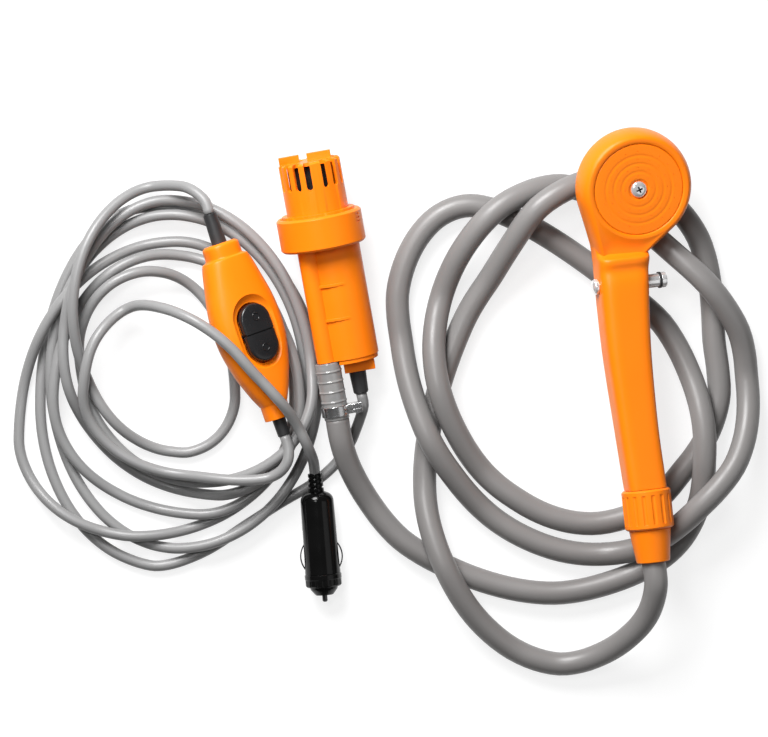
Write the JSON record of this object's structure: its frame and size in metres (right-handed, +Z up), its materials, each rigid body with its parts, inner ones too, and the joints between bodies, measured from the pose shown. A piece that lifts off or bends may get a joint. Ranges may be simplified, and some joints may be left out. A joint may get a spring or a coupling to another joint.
{
  "type": "camp shower pump kit",
  "caption": "Submersible camp shower: cylindrical pump with slotted strainer, coiled hose to a push-valve shower handset, cable with inline rocker switch and vehicle socket plug.",
  "frame": {"origin": "centre of the floor area under the pump and the handset", "axes": "+Z up from the floor that the kit lies on, +Y from the hose end of the handset to its head, +X from the pump to the handset"},
  "size_m": [0.4132, 0.3057, 0.0523],
  "materials": {
    "orange": "smooth, slightly glossy",
    "black_plastic": "glossy",
    "black_rubber": "matte",
    "black_foam": "open-cell foam",
    "grey_pvc": "satin",
    "clear_pvc": "cloudy, lets the barb show through",
    "chrome": "bright",
    "steel": "plain",
    "brass": "plain",
    "magnet": "dull",
    "fuse_glass": "clear tube"
  },
  "bodies": {
    "kit": {"motor_body": "orange", "end_cap": "orange", "collar": "orange", "suction_plate": "orange", "handset_body": "orange", "spray_plate": "orange", "hose_sleeve": "orange", "switch_upper": "orange", "switch_lower": "orange", "switch_base": "black_plastic", "plug_body": "black_plastic", "pump_gland": "black_rubber", "upper_relief": "black_rubber", "lower_relief": "black_rubber", "plug_relief": "black_rubber", "shaft_seal": "black_rubber", "chamber_gasket": "black_rubber", "plate_seal": "black_rubber", "hose_washer": "black_rubber", "hose": "grey_pvc", "cable_pump": "grey_pvc", "cable_plug": "grey_pvc", "hose_cuff": "clear_pvc", "plate_screw": "chrome", "clamp_band": "chrome", "clamp_housing": "chrome", "clamp_screw": "chrome", "rocker_pin": "chrome", "switch_screws": "chrome", "tip_spring": "chrome", "motor_can": "steel", "bearings": "brass", "terminals": "brass", "hose_tail": "brass", "hose_barb": "brass", "magnets": "magnet", "fuse": "fuse_glass"},
    "rotor": {"rotor_shaft": "chrome", "armature": "brass", "impeller": "black_plastic"},
    "strainer": {"strainer_cage": "orange", "intake_filter": "black_foam"},
    "spool": {"valve_spool": "chrome", "spool_rings": "black_rubber"},
    "nut": {"coupling_nut": "orange"},
    "rocker": {"rocker": "black_plastic"},
    "nose": {"nose_ring": "black_plastic"},
    "tip": {"tip_contact": "chrome"},
    "left_contact": {"side_contact_left": "chrome"},
    "right_contact": {"side_contact_right": "chrome"}
  },
  "joints": [
    {"name": "impeller_spin", "type": "hinge", "parent": "kit", "child": "rotor", "pos_m": [-0.0727, -0.0064, 0.0157], "axis": [-0.1731, 0.9815, 0.0824], "continuous": true},
    {"name": "strainer_twist", "type": "hinge", "parent": "kit", "child": "strainer", "pos_m": [-0.08711, 0.05409, 0.02342], "axis": [-0.1731, 0.9815, 0.0824], "range_deg": [0, 30]},
    {"name": "valve_slide", "type": "slide", "parent": "kit", "child": "spool", "axis": [0.9693, 0.0991, -0.2248], "range_m": [-0.005, 0]},
    {"name": "nut_turn", "type": "hinge", "parent": "kit", "child": "nut", "pos_m": [0.0933, -0.1182, 0.0375], "axis": [-0.1097, 0.9934, -0.0349], "continuous": true},
    {"name": "rocker_tip", "type": "hinge", "parent": "kit", "child": "rocker", "pos_m": [-0.12519, 0.00675, 0.03153], "axis": [0.8208, 0.2762, -0.5], "range_deg": [-7, 7]},
    {"name": "nose_unscrew", "type": "hinge", "parent": "kit", "child": "nose", "pos_m": [-0.0917, -0.0819, 0.01025], "axis": [0.0802, -0.9968, 0], "range_deg": [0, 180]},
    {"name": "tip_press", "type": "slide", "parent": "kit", "child": "tip", "axis": [-0.0802, 0.9968, 0], "range_m": [0, 0.003], "stiffness_N_per_m": 400, "springref_m": -0.002, "deforming": ["tip_spring"]},
    {"name": "left_contact_press", "type": "slide", "parent": "kit", "child": "left_contact", "axis": [0.9968, 0.0802, 0], "range_m": [0, 0.0015], "stiffness_N_per_m": 800, "springref_m": -0.001},
    {"name": "right_contact_press", "type": "slide", "parent": "kit", "child": "right_contact", "axis": [-0.9968, -0.0802, 0], "range_m": [0, 0.0015], "stiffness_N_per_m": 800, "springref_m": -0.001}
  ]
}
